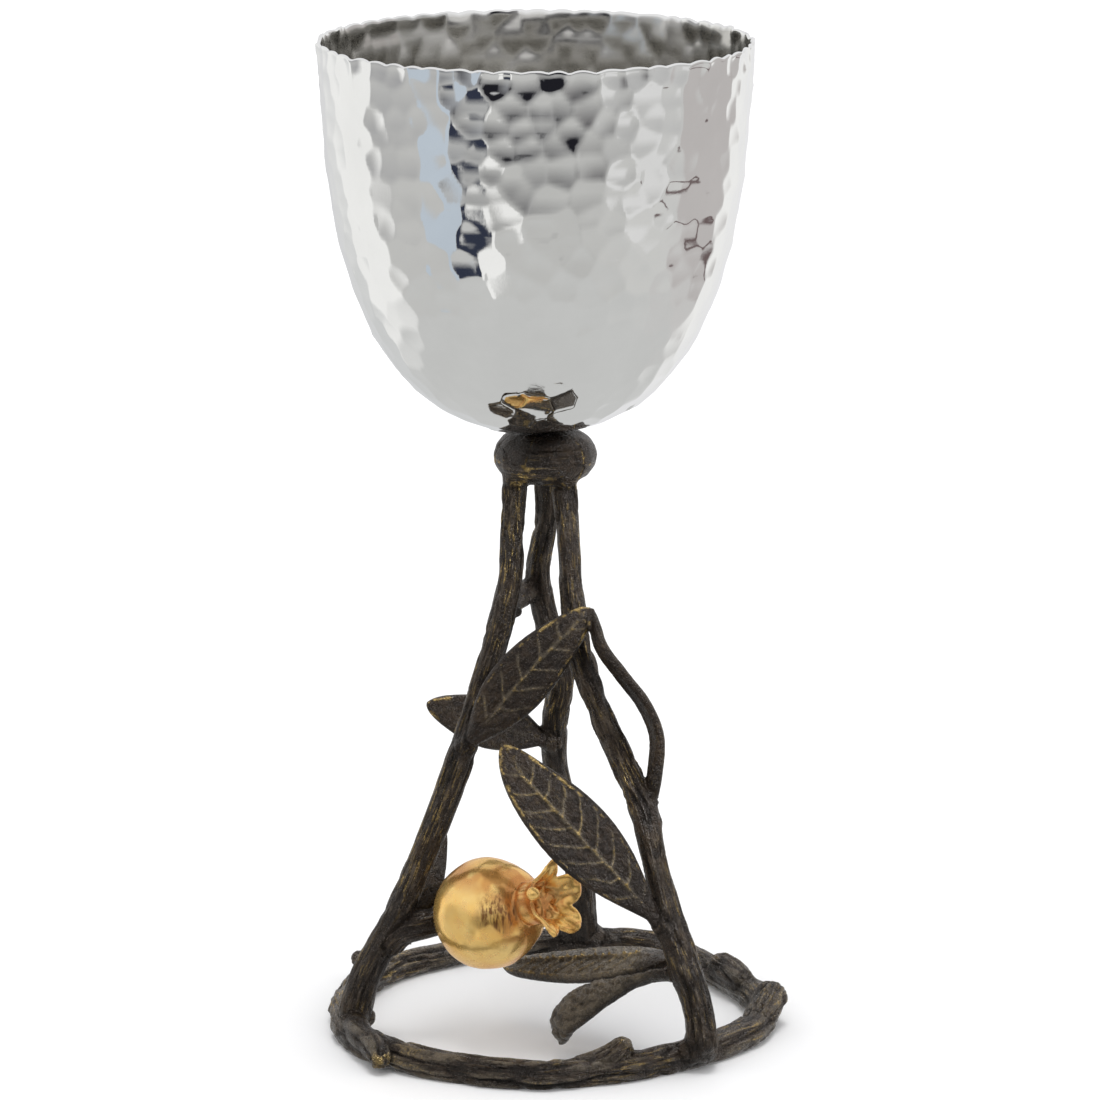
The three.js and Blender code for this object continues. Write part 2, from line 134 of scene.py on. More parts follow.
# Leaves: midrib from stalk to tip, the side that faces out, and these measures.
LEAF_MEASURES = (
    "half_width", "thickness", "fold", "stalk", "widest", "vein_gap", "veins", "vein_gold", "gold",
    "worn", "pits",
)
LEAVES = {
    "upper_front": (
        [(-17.4, -10.4, 57), (-13.8, -12.3, 61.6), (-8.7, -13.6, 68.4), (-2.6, -14.6, 75.8),
         (3.4, -14.5, 82), (6.9, -13.2, 85.2)],
        (0.15, -1, 0.25), (5.6, 1.8, 0.08, 2.3, 0.5, 5.2, 1.25, 0.55, 0.9, 0, 0.4),
    ),
    "lower_front": (
        [(22, -26.2, 25.2), (16.3, -28, 32.3), (10.1, -29.6, 39.8), (2, -30, 48.8),
         (-4.8, -28.6, 56), (-9.6, -26.2, 62.2)],
        (0.1, -1, 0.25), (6.6, 2, 0.08, 2.2, 0.57, 4.4, 1.1, 0.7, 0.8, 0, 0.4),
    ),
    "upper_back": (
        [(0.4, 19.4, 50), (-5.6, 16.5, 52.4), (-11.6, 11.6, 55.8), (-18, 6.8, 59.2),
         (-24.2, 3, 62.2)],
        (-0.2, -0.95, 0.2), (5.2, 1.9, 0.05, 2.6, 0.5, 5, 0.2, 0.2, 0.75, 0, 0.2),
    ),
    "right_loop": (
        [(16.9, -21, 47), (18.6, -20, 54.6), (19, -18.2, 61.6), (16.6, -17.2, 67.6),
         (12.4, -16.5, 73.2), (8.6, -15.4, 78.6), (7, -13.6, 85.4)],
        (0.93, 0.2, 0.3), (3.7, 2, 0.15, 1.9, 0.5, 5, 0, 0, 0.1, 0.2, 0.3),
    ),
    "lower_back": (
        [(-29.2, -9.6, 19), (-27, -7.4, 24), (-25, -3.6, 30), (-23, -0.4, 34.6), (-21.2, 1.4, 38)],
        (0.1, -0.95, 0.2), (4.3, 1.6, 0.06, 2.2, 0.5, 4.4, 0.6, 0.3, 0.15, 0, 0.3),
    ),
    "inside_flat": (
        [(24.6, -26.8, 18.8), (19.6, -21.8, 18.8), (12.4, -16, 16.8), (3, -9, 14), (-9.6, -1, 10.8)],
        (-0.15, -0.25, 1), (5.8, 2.3, -0.1, 2, 0.5, 3.4, 1.9, 0.7, 0.5, 0.75, 0.5),
    ),
    "inside_curled": (
        [(24.8, -27.6, 18.6), (18.6, -25.6, 17.3), (11.8, -24.2, 14.6), (6.1, -23.6, 11.8),
         (1.5, -23, 7.4), (1.4, -22, 2.6)],
        (-0.7, -0.45, 0.6), (4.1, 3.1, -0.1, 2, 0.73, 4, 0, 0, 0.1, 0.5, 1.9),
    ),
}

FRUIT = SimpleNamespace(centre=(-12.3, -14, 25.85), radius=10.65, azimuth=-37.7, elevation=21)
CROWN = SimpleNamespace(
    neck_radius=4.2,
    start=8.8,  # along the fruit's axis from its centre
    straight=3.4,
    bend=0.2,  # radians a millimetre beyond the straight part
    notch=6.0,
    wall=0.85,
    floor=5.4,
    # Angle round the fruit's axis, length of the wall at the tip, half angle, and bluntness.
    sepals=[
        (28, 10, 42, 2.4), (97, 9.8, 40, 2.4), (160, 9.8, 30, 1.25), (244, 6.5, 44, 1.8),
        (330, 9.9, 36, 1.25),
    ],
    curled=244,  # the sepal whose tip rolls into a bead
    bead=1.35,
)

STAND_VOXEL = 0.3
STAND_FACES = 196000
FRUIT_VOXEL = 0.24
JOINT_SMOOTHING = 26
SKIN_REACH = 0.4  # how far past a part's skin its relief fades
LEAF_PULL, COLLAR_PULL = 5, 8  # how much more their relief counts than bark where they meet


# ---- Numbers: noise, curves and meshes


def ease(low, high, value):
    t = np.clip((value - low) / (high - low), 0, 1)
    return t * t * (3 - 2 * t)


def hashed(cells, seed):
    """A value from -1 to 1 for each row of whole numbers."""
    c = cells.astype(np.int64).astype(np.uint32)
    h = c[:, 0] * np.uint32(374761393) + c[:, 1] * np.uint32(668265263) + c[:, 2] * np.uint32(2246822519)
    h = h + np.uint32(seed * 3266489917 % 2**32)
    h = (h ^ (h >> np.uint32(13))) * np.uint32(1274126177)
    h = h ^ (h >> np.uint32(16))
    return h.astype(np.float64) / 2**31 - 1


def noise(points, seed=0):
    """Smooth noise from -1 to 1, one bump a unit."""
    cell = np.floor(points)
    f = points - cell
    f = f * f * (3 - 2 * f)
    total = np.zeros(len(points))
    for corner in np.ndindex(2, 2, 2):
        corner = np.array(corner)
        weight = np.prod(np.where(corner, f, 1 - f), axis=1)
        total += weight * hashed(cell + corner, seed)
    return total


def full_turn(count):
    """Angles in radians at even steps round a circle."""
    return np.linspace(0, 2 * math.pi, count, endpoint=False)


def turned(radius, angle, height):
    """Points at each radius, angle in radians and height."""
    return np.stack(np.broadcast_arrays(radius * np.cos(angle), radius * np.sin(angle), height), -1)


def unit(vectors):
    return vectors / np.linalg.norm(vectors, axis=-1)[..., None]


def lengths(points):
    """How far along a path each of its points is."""
    return np.concatenate([[0], np.cumsum(np.linalg.norm(np.diff(points, axis=0), axis=1))])


def at_lengths(wanted, length, points):
    """The points of a path at the wanted lengths along it."""
    return np.column_stack([np.interp(wanted, length, column) for column in points.T])


def curve(points, count):
    """A centripetal Catmull-Rom curve through the points, at count steps of equal length: places,
    tangents, fractional places in the list, and lengths along it."""
    p = np.array(points, float)[:, :3]
    p = np.vstack([2 * p[0] - p[1], p, 2 * p[-1] - p[-2]])
    knots = np.concatenate([[0], np.cumsum(np.sqrt(np.linalg.norm(np.diff(p, axis=0), axis=1)))])
    places, at = [], []
    for i in range(1, len(p) - 2):
        t = np.linspace(knots[i], knots[i + 1], 40, endpoint=i == len(p) - 3)[:, None]
        k, level = knots[i - 1:i + 3], p[i - 1:i + 3]
        for span in (1, 2):
            level = [((k[j + span] - t) * level[j] + (t - k[j]) * level[j + 1]) / (k[j + span] - k[j])
                     for j in range(len(level) - 1)]
        places.append(((k[2] - t) * level[0] + (t - k[1]) * level[1]) / (k[2] - k[1]))
        at.append(i - 1 + (t[:, 0] - k[1]) / (k[2] - k[1]))
    places, at = np.vstack(places), np.concatenate(at)
    length = lengths(places)
    wanted = np.linspace(0, length[-1], count)
    even = at_lengths(wanted, length, places)
    return even, unit(np.gradient(even, axis=0)), np.interp(wanted, length, at), wanted


def frames_along(tangents, face):
    """For each tangent, the direction nearest to face, and the one across."""
    face = np.array(face, float)
    out = unit(face - (tangents @ face)[:, None] * tangents)
    return out, np.cross(tangents, out)


def grid_mesh(rings, closed=False):
    """A mesh from rings of points [ring, point, xyz]: closed into a loop, or with a fan at each end."""
    rows, sides = rings.shape[:2]
    faces = []
    for i in range(rows if closed else rows - 1):
        n = (i + 1) % rows
        for j in range(sides):
            k = (j + 1) % sides
            faces.append((i * sides + j, i * sides + k, n * sides + k, n * sides + j))
    verts = rings.reshape(-1, 3)
    if closed:
        return verts, faces
    first, last = rows * sides, rows * sides + 1
    for j in range(sides):
        k = (j + 1) % sides
        faces += [(first, k, j), (last, (rows - 1) * sides + j, (rows - 1) * sides + k)]
    return np.vstack([verts, rings[0].mean(0), rings[-1].mean(0)]), faces


def joined(parts):
    verts, faces, base = [], [], 0
    for v, f in parts:
        verts.append(v)
        faces += [tuple(base + i for i in face) for face in f]
        base += len(v)
    return np.vstack(verts), faces


def added(name, data):
    """A new object in the scene."""
    obj = bpy.data.objects.new(name, data)
    bpy.context.scene.collection.objects.link(obj)
    return obj


def new_object(name, verts_mm, faces):
    """An object from vertices in millimetres in the ring's frame."""
    mesh = bpy.data.meshes.new(name)
    mesh.from_pydata((verts_mm + RING_CENTRE) * MM, [], faces)
    mesh.update()
    return added(name, mesh)


def face_outward(obj):
    bm = bmesh.new()
    bm.from_mesh(obj.data)
    bmesh.ops.recalc_face_normals(bm, faces=bm.faces)
    bm.to_mesh(obj.data)
    bm.free()


def modified(obj, kind, **settings):
    """Applies a modifier to the object."""
    modifier = obj.modifiers.new(kind, kind)
    for key, value in settings.items():
        setattr(modifier, key, value)
    mesh = bpy.data.meshes.new_from_object(obj.evaluated_get(bpy.context.evaluated_depsgraph_get()))
    obj.modifiers.clear()
    old, obj.data = obj.data, mesh
    bpy.data.meshes.remove(old)


def remeshed(obj, voxel_mm, smoothing):
    """Fuses the object's closed shells into one even skin."""
    face_outward(obj)
    modified(obj, "REMESH", mode="VOXEL", voxel_size=voxel_mm * MM, use_smooth_shade=True)
    soften(obj, smoothing)


def soften(obj, iterations, weights=None):
    """Smooths the skin, everywhere or by each vertex's weight."""
    settings = {"factor": 0.5, "iterations": iterations}
    if weights is not None:
        group = obj.vertex_groups.new(name="soften")
        levels = np.round(weights * 10).astype(int)
        for level in range(1, 11):
            group.add(np.flatnonzero(levels == level).tolist(), level / 10, "REPLACE")
        settings["vertex_group"] = group.name
    modified(obj, "SMOOTH", **settings)
    obj.vertex_groups.clear()


def thinned(obj, faces):
    """Merges the smallest faces until at most that many are left."""
    triangles = sum(len(polygon.vertices) - 2 for polygon in obj.data.polygons)
    modified(obj, "DECIMATE", ratio=min(1, faces / triangles))


def skin(obj):
    """Vertices in millimetres in the ring's frame, and their normals."""
    found = []
    for name in ("co", "normal"):
        values = np.empty(len(obj.data.vertices) * 3, np.float32)
        obj.data.vertices.foreach_get(name, values)
        found.append(values.reshape(-1, 3))
    return found[0] / MM - RING_CENTRE, found[1].astype(float)


def set_skin(obj, verts_mm):
    obj.data.vertices.foreach_set("co", ((verts_mm + RING_CENTRE) * MM).astype(np.float32).ravel())
    obj.data.update()


def set_attribute(obj, name, values):
    kind = "FLOAT" if values.ndim == 1 else "FLOAT_VECTOR"
    layer = obj.data.attributes.new(name, kind, "POINT")
    layer.data.foreach_set("value" if values.ndim == 1 else "vector", values.astype(np.float32).ravel())


# ---- The stand


def ring_at(degrees):
    """The ring's radius and its twig's radius at each azimuth."""
    bends = np.array([*RING_BENDS, (360, *RING_BENDS[0][1:])], float)
    azimuth = np.asarray(degrees) % 360
    after = np.clip(np.searchsorted(bends[:, 0], azimuth, side="right"), 1, len(bends) - 1)
    low, high = bends[after - 1], bends[after]
    even = (azimuth - low[:, 0]) / (high[:, 0] - low[:, 0])
    share = (even + ease(0, 1, even)) / 2
    return low[:, 1] + share * (high[:, 1] - low[:, 1]), low[:, 2] + share * (high[:, 2] - low[:, 2])


def tube_rings(places, out, across, radii, sides, dome=None):
    """Rings round a path, rounded over at both ends within dome millimetres."""
    if dome:
        length = lengths(places)
        inset = 1 - np.clip(np.minimum(length, length[-1] - length) / dome, 0, 1)
        radii = radii * np.sqrt(np.maximum(1 - inset**2, 0.06))
    c, s = (f(full_turn(sides))[:, None] for f in (np.cos, np.sin))
    return places[:, None] + radii[:, None, None] * (c * across[:, None] + s * out[:, None])


class Branch:
    """A round branch: its path, frames and radii at even steps."""

    step = 0.6
    reach = 5.0  # how far from a branch its skin is looked for

    def __init__(self, name, places, tangents, face, radii, bark, closed=False):
        self.name, self.places, self.tangents, self.radii = name, places, tangents, radii
        self.bark, self.closed = bark, closed
        self.out, self.across = frames_along(tangents, face)
        self.along = lengths(places)

    def mesh(self):
        dome = None if self.closed else 0.9 * self.radii[-1]
        rings = tube_rings(self.places, self.out, self.across, self.radii, BRANCH_SIDES, dome)
        return grid_mesh(rings, self.closed)

    def locate(self, verts):
        """The vertices near the branch, the nearest step of each, and its distance from the skin."""
        near, index, distance = nearest_steps(verts, self.places, self.reach)
        return near, index, distance - self.radii[index]

    def bark_space(self, verts, index):
        """Coordinates across, out of and along the branch, in millimetres."""
        across, out, beyond = own_offsets(self, verts, index)
        return np.column_stack([across, out, self.along[index] + beyond + 41 * hash_name(self.name)])


def nearest_steps(verts, places, reach):
    """The vertices within reach of a path, and the index and distance of the step nearest to each."""
    low, high = places.min(0) - reach, places.max(0) + reach
    near = np.flatnonzero(((verts > low) & (verts < high)).all(1))
    found = verts[near]
    best, index = np.full(len(near), 1e9), np.zeros(len(near), int)
    for k, place in enumerate(places):
        d = ((found - place) ** 2).sum(1)
        closer = d < best
        best[closer], index[closer] = d[closer], k
    within = best < reach**2
    return near[within], index[within], np.sqrt(best[within])


def hash_name(name):
    return sum(ord(letter) for letter in name) % 31


def own_offsets(part, verts, index):
    """How far each vertex is across, out of and along a part's path from its nearest step."""
    offset = verts - part.places[index]
    return [np.einsum("ij,ij->i", offset, axis[index]) for axis in (part.across, part.out, part.tangents)]


def make_branches():
    made = []
    for name, (bark, points) in BRANCHES.items():
        length = sum(math.dist(a[:3], b[:3]) for a, b in zip(points, points[1:]))
        places, tangents, at, along = curve(points, max(8, round(length / Branch.step)))
        radii = np.interp(at, range(len(points)), [p[3] for p in points])
        knots = noise(np.column_stack([along / 9, 0 * at + hash_name(name), 0 * at]), 5)
        rise = abs(points[-1][2] - points[0][2])
        face = (0, -1, 0) if rise > 0.6 * length else (0, 0, 1)
        made.append(Branch(name, places, tangents, face, radii * (1 + 0.05 * knots), bark))
    return made


def make_ring():
    azimuth = np.linspace(0, 360, 420, endpoint=False)
    radius, twig = ring_at(azimuth)
    a = np.radians(azimuth)
    waver = 1 + 0.04 * noise(turned(5, a, 0), 8)
    places = turned(radius, a, twig - GROUND_OFF)
    tangents = unit(np.roll(places, -1, 0) - np.roll(places, 1, 0))
    return Branch("ring", places, tangents, (0, 0, 1), twig * waver, RING_BARK, closed=True)


class Leaf:
    """A leaf: a blade of even thickness on a round stalk."""

    steps = 160
    sides = 36

    def __init__(self, name, midrib, face, measures):
        self.name = name
        self.spec = spec = SimpleNamespace(**dict(zip(LEAF_MEASURES, measures)))
        self.places, self.tangents, _, self.along = curve(midrib, self.steps)
        self.out, self.across = frames_along(self.tangents, face)
        self.length = self.along[-1]
        share = self.along / self.length
        even = np.clip(share, 0.001, 0.999) ** (math.log(0.5) / math.log(spec.widest))
        blade = np.sin(math.pi * even) ** (1.15 - 0.6 * even)
        self.stalkiness = np.maximum(0, 1 - share / 0.4) ** 1.3
        blunt, tipness = 0.5, ease(0.9, 1, share)
        wide = np.maximum(spec.stalk * self.stalkiness, spec.half_width * blade)
        self.half_across = np.maximum(wide, blunt)
        half_thick = (1 - tipness) * spec.thickness / 2 + tipness * blunt
        self.half_thick = (1 - self.stalkiness) * half_thick + self.stalkiness * spec.stalk

    def mesh(self):
        squareness = (0.65 + 0.35 * self.stalkiness)[:, None]
        c, s = (f(full_turn(self.sides))[None] for f in (np.cos, np.sin))
        across = self.half_across[:, None] * np.sign(c) * np.abs(c) ** squareness
        out = self.half_thick[:, None] * np.sign(s) * np.abs(s) ** squareness
        out += self.spec.fold * np.abs(across)
        rings = self.places[:, None] + across[..., None] * self.across[:, None]
        return grid_mesh(rings + out[..., None] * self.out[:, None])

    def locate(self, verts):
        """The vertices near the leaf, the nearest step of each, its distance from the skin, and how
        far it is across, out and along."""
        near, index, _ = nearest_steps(verts, self.places, self.spec.half_width + 2.5)
        across, out, beyond = own_offsets(self, verts[near], index)
        out -= self.spec.fold * np.abs(across)
        side = np.maximum(np.abs(across) - self.half_across[index], np.abs(out) - self.half_thick[index])
        distance = np.maximum(side, np.abs(beyond) - 0.3)
        return near, index, distance, (across, out, self.along[index] + beyond)

    def relief(self, index, where):
        """Height of the veins, edge and pits in millimetres, how much gold shows, and how far the
        patina is worn."""
        across, out, along = where
        spec, offset = self.spec, np.abs(across)
        share, width = along / self.length, self.half_across[index]
        space = np.column_stack([across, along, np.full(len(along), 3.7 * hash_name(self.name))])
        upper = ease(0.1, 0.6, out / self.half_thick[index])
        lower = ease(0.1, 0.6, -out / self.half_thick[index])
        blade = ease(0.14, 0.3, share)
        inner = 1 - ease(0.68, 0.86, offset / width)
        tip = ease(0.84, 0.97, share)
        wobble = 0.5 * noise(space * [0.5, 0.35, 1], 3)
        midrib = np.exp(-(((across + 0.4 * wobble) / 0.38) ** 2)) * (1 - tip) * blade
        start = along - 0.62 * offset - 0.075 * offset**2 + np.sign(across) * spec.vein_gap * 0.22
        phase = (start + wobble) / spec.vein_gap
        away = np.abs(phase - np.floor(phase) - 0.5) * spec.vein_gap * 0.78
        veins = np.exp(-((away / 0.25) ** 2)) * inner * (1 - tip) * blade
        pillow = ease(0, 1.6, away) * ease(0.2, 1.4, offset) * inner * (1 - tip)
        edge = np.exp(-(((offset / width - 0.86) * width / 0.3) ** 2)) * blade
        pits = noise(space * [1.0, 0.9, 1], 9) + 0.5 * noise(space * [2.2, 2.0, 1], 10)
        height = upper * spec.veins * (0.34 * midrib + 0.26 * veins + 0.2 * pillow + 0.14 * edge)
        height += lower * 0.3 * midrib
        height += 0.14 * spec.pits * pits * np.maximum(upper, 0.3)
        speckle = noise(space * [2.6, 2.6, 1], 11)
        uneven = 0.7 + 0.3 * ease(-0.3, 0.4, noise(space * [0.7, 0.7, 1], 14))
        rub = upper * uneven * spec.vein_gold * (0.75 * midrib + 0.8 * veins + 0.35 * edge)
        toward_tip = 0.3 + 0.6 * ease(0.5, 0.85, share)
        broken = ease(-0.3, 0.3, noise(space * [1.2, 1.2, 1], 12))
        tip_rub = 0.6 * tip * ease(-0.35, 0.5, speckle)
        rub += spec.gold * (tip_rub + toward_tip * edge * upper * broken)
        lines = min(1, 1.15 * spec.vein_gold) * np.maximum(midrib, veins)
        return height, np.clip(rub, 0, 1), np.maximum(spec.worn, lines) * upper * blade


def make_collar():
    angle = np.linspace(-math.pi / 2, math.pi / 2, 26)[1:-1, None]
    radius = COLLAR.radius * np.cos(angle) ** COLLAR.roundness
    height = COLLAR.bottom + (COLLAR.top - COLLAR.bottom) * (1 + np.sin(angle)) / 2
    return grid_mesh(turned(radius, full_turn(96), height) + [COLLAR.x, 0, 0])


def bark_relief(space, depth):
    """Plates with cracks between them that run along a branch, in millimetres."""
    wander = 0.6 * noise(space / 6, 1)[:, None] * np.array([1, 1, 0])
    wide = noise((space + wander) / [1.9, 1.9, 13], 2)
    narrow = noise((space + wander) / [0.95, 0.95, 6], 3)
    fine = noise(space / [0.6, 0.6, 2.2], 4)
    strands = noise(space / [0.7, 0.7, 7], 17)
    plates = ease(0, 0.26, np.abs(wide)) + 0.6 * ease(0, 0.32, np.abs(narrow))
    patch = 0.6 + 0.4 * ease(-0.5, 0.4, noise(space / 14, 5))
    return depth * patch * (0.48 * (plates - 1) + 0.1 * fine + 0.12 * strands)


def collar_space(verts):
    """Coordinates up, out of and round the collar, in millimetres."""
    x, y = verts[:, 0] - COLLAR.x, verts[:, 1]
    return np.column_stack([verts[:, 2], np.hypot(x, y), COLLAR.radius * np.arctan2(x, -y)])


def collar_relief(verts):
    """Seams and creases in millimetres, how much gold shows, and where the collar is scratched."""
    at, space, z = verts - [COLLAR.x, 0, 0], collar_space(verts), verts[:, 2]
    azimuth = np.degrees(np.arctan2(at[:, 1], at[:, 0])) + 5 * noise(at / [8, 8, 5], 6)
    seams = np.zeros(len(verts))
    for seam in COLLAR.seams:
        away = np.radians(np.abs((azimuth - seam + 180) % 360 - 180)) * COLLAR.radius
        seams += np.exp(-((away / 0.25) ** 2))
    creases = noise(at / [1.1, 1.1, 4], 7)
    scratches = noise(at / [3, 3, 0.6], 8)
    lines = ease(0.2, 0.05, np.abs(noise(space / [0.8, 1.6, 1.7], 19)))
    scratched = ease(-0.45, 0.05, noise(verts / [3.5, 3.5, 2.0], 16)) * ease(114.6, 110.2, z)
    broken = ease(-0.2, 0.25, noise(space / [1.3, 1, 1], 20))
    scuffed = ease(0.0, 0.4, noise(space / [0.5, 1, 2.4], 21)) * ease(112.5, 109.6, z)
    gold = scratched * (0.72 * lines + 0.42 * scuffed) + 0.6 * seams * broken
    return 0.12 * creases + 0.06 * scratches - 0.12 * seams, gold, scratched


def soften_joints(obj, found, in_collar):
    """Smooths the skin wherever two parts meet, and returns how far each vertex is from the second
    nearest part."""
    first, second = np.full(len(in_collar), 9.0), np.full(len(in_collar), 9.0)
    second[in_collar > 0.1] = 0
    for _, near, _, distance, *_ in found:
        closest = first[near]
        second[near] = np.minimum(second[near], np.maximum(closest, distance))
        first[near] = np.minimum(closest, distance)
    soften(obj, JOINT_SMOOTHING, 1 - ease(0.2, 1.5, second))
    return second


def carve_stand(obj, branches, leaves):
    """Rounds off the joints, moves the skin to make bark, veins and seams, and records how much
    gold shows through, how deep each hollow is, where the leaves' patina is worn pale, and where
    the bark's ridge tops are painted pale as a highlight."""
    verts, _ = skin(obj)
    found = [(part, *part.locate(verts)) for part in [*branches, *leaves]]
    in_collar = ease(COLLAR.bottom - 0.6, COLLAR.bottom + 0.8, verts[:, 2])
    second = soften_joints(obj, found, in_collar)

    verts, normals = skin(obj)
    count = len(verts)
    sums = np.zeros((5, count))  # height, gold, hollow, paleness, and the weight of it all
    nearest, along, threaded = np.zeros(count), verts.copy(), np.zeros(count)

    def add(where, weight, height, gold, hollow, pale):
        sums[:, where] += weight * np.array([height, gold, hollow, pale, np.ones(len(height))])

    for part, near, index, distance, *where in found:
        weight = np.exp(-np.maximum(distance, 0) / SKIN_REACH)
        if isinstance(part, Branch):
            space = part.bark_space(verts[near], index)
            height = bark_relief(space, part.bark)
            patch = ease(-0.25, 0.5, noise(space / [3, 3, 9], 15))
            top = ease(0.1, 0.24, height / part.bark)
            gold = 0.34 * min(1, part.bark) * top * patch
            # painted highlight: the bark's ridge tops painted pale, most on the ring and its ends
            pale = top * (0.45 if part.bark > 1 else 0.05)
            if part.name.endswith("_end"):
                at_tip = ease(2.0, 0.4, part.along[-1] - part.along[index])
                gold += 0.4 * at_tip * ease(-0.4, 0.3, noise(space / 1.1, 18))
        else:
            weight = LEAF_PULL * weight * ease(0.25, 0.85, 1 - part.stalkiness[index])
            height, gold, pale = part.relief(index, where[0])
            space = np.column_stack(where[0]) * [0.6, 0.6, 3.6] + 13 * hash_name(part.name)
        closer = weight > nearest[near]
        threaded[near[closer]] = 1.0 if isinstance(part, Branch) else 0.12
        along[near[closer]] = space[closer]
        nearest[near] = np.maximum(nearest[near], weight)
        add(near, weight, height, gold, ease(0.0, -0.3, height), pale)

    height, gold, scratched = collar_relief(verts)
    add(slice(None), COLLAR_PULL * in_collar, height, gold, ease(-0.05, -0.25, height), 0 * height)
    threaded *= 0.15 + 0.85 * ease(0.2, 1.7, second)
    threaded = np.where(in_collar > 0.5, 0.04 + 0.9 * scratched, threaded)
    along = np.where(in_collar[:, None] > 0.5, collar_space(verts), along)

    height, gold, hollow, pale = sums[:4] / np.maximum(sums[4], 1e-3)
    moved = verts + normals * height[:, None]
    moved[:, 2] = np.clip(moved[:, 2], 0, BOWL.bottom - 0.05)
    set_skin(obj, moved)
    for name, values in (("rubbed", gold), ("hollow", hollow), ("paled", pale)):
        set_attribute(obj, name, np.clip(values, 0, 1))
    set_attribute(obj, "along_bark", along)
    set_attribute(obj, "threaded", threaded)


def make_stand():
    branches = [make_ring(), *make_branches()]
    leaves = [Leaf(name, *spec) for name, spec in LEAVES.items()]
    parts = [part.mesh() for part in [*branches, *leaves]]
    obj = new_object("stand_casting", *joined([*parts, make_collar()]))
    remeshed(obj, STAND_VOXEL, 3)
    carve_stand(obj, branches, leaves)
    thinned(obj, STAND_FACES)
    return obj


# ---- The bowl


def bowl_wall(inset, count):
    """The wall from the rim to the axis as [radius, height], at even steps along it."""
    depth = CUP_HEIGHT - BOWL.bottom
    angle = np.linspace(0, math.pi / 2, 2000)
    widest = BOWL.rim_radius - BOWL.taper * depth - inset
    z = CUP_HEIGHT - (depth - inset) * np.sin(angle) ** (2 / BOWL.depth_power)
    r = widest * np.maximum(np.cos(angle), 0) ** (2 / BOWL.radius_power) + BOWL.taper * (z - BOWL.bottom)
    r[-1] = 0
    wall = np.column_stack([r, z])
    length = lengths(wall)
    return at_lengths(np.linspace(0, length[-1], count), length, wall)


def hammer_marks():
    """Centres of the hammer marks: rows of jittered places about a mark apart, and each one's tilt
    and depth, which is greatest along the rim."""
    wall = bowl_wall(0, 400)
    length = lengths(wall)
    rng = np.random.default_rng(11)
    centres = []
    for row, s in enumerate(np.arange(BOWL.mark * 0.3, length[-1], BOWL.mark * 0.86)):
        r = np.interp(s, length, wall[:, 0])
        count = max(1, round(2 * math.pi * r / BOWL.mark))
        for k in range(count):
            jitter = rng.uniform(-0.3, 0.3, 2) * BOWL.mark
            a = 2 * math.pi * (k + 0.5 * (row % 2)) / count + jitter[0] / max(r, 3)
            at = np.clip(s + jitter[1], 0, length[-1])
            r_at, z_at = at_lengths([at], length, wall)[0]
            centres.append(turned(r_at, a, z_at))
    centres = np.array(centres)
    tilts = rng.normal(0, BOWL.mark_tilt, centres.shape)
    below = CUP_HEIGHT - centres[:, 2]
    depths = rng.uniform(0.6, 1.4, len(centres)) * (1 - 0.28 * ease(11, 24, below))
    depths *= 1 + 0.7 * ease(6, 3, below)
    return centres, tilts, depths


def hammered(points, marks):
    """How far each point of the wall is pushed in, in millimetres."""
    centres, tilts, depths = marks
    tree = KDTree(len(centres))
    for i, centre in enumerate(centres):
        tree.insert(centre, i)
    tree.balance()
    edge = 0.05  # the depth over which neighbouring marks blend
    dents = np.empty(len(points))
    for n, point in enumerate(points):
        levels = []
        for _, i, distance in tree.find_n(point, 3):
            tilt = float(np.dot(point - centres[i], tilts[i]))
            levels.append(BOWL.mark_depth * depths[i] * (1 - (distance / (BOWL.mark / 2)) ** 2) + tilt)
        first, second = sorted(levels, reverse=True)[:2]
        blend = max(edge - (first - second), 0) / edge
        dents[n] = first + 0.25 * edge * blend * blend
    return dents


def rim_lobes(around):
    """How far the rim dips between its lobes, from -1 to 0."""
    turn = turned(1, around, 0)
    phase = BOWL.rim_lobes * around / (2 * math.pi) + 0.45 * noise(turn * 5, 12)
    return (np.abs(np.sin(math.pi * phase)) - 1) * (0.65 + 0.35 * noise(turn * 9, 13))


def lip_rows(outer, inner):
    """The rounded edge between the walls' two top rows."""
    across = unit((inner - outer) * [1, 1, 0])
    up = np.array([0, 0, BOWL.lip])
    rows = []
    for turn in np.linspace(0, math.pi, 7):
        inset = BOWL.lip * (1 - math.cos(turn))
        rows.append(outer + across * inset + up * (math.sin(turn) - 1))
    return np.array(rows)


def dented(profile, marked, around, marks):
    """Rows of a wall's points, pushed in as far as the outer wall's points at marked are."""
    outer = turned(marked[:, :1], around, marked[:, 1:])
    dents = hammered(outer.reshape(-1, 3), marks).reshape(outer.shape[:2])
    slope = np.gradient(profile, axis=0)
    normal = np.column_stack([slope[:, 1], -slope[:, 0]])
    normal /= np.maximum(np.linalg.norm(normal, axis=1), 1e-9)[:, None]
    if normal[len(normal) // 2, 0] < 0:
        normal = -normal
    push = turned(dents * normal[:, :1], around, dents * normal[:, 1:])
    return turned(profile[:, :1], around, profile[:, 1:]) - push


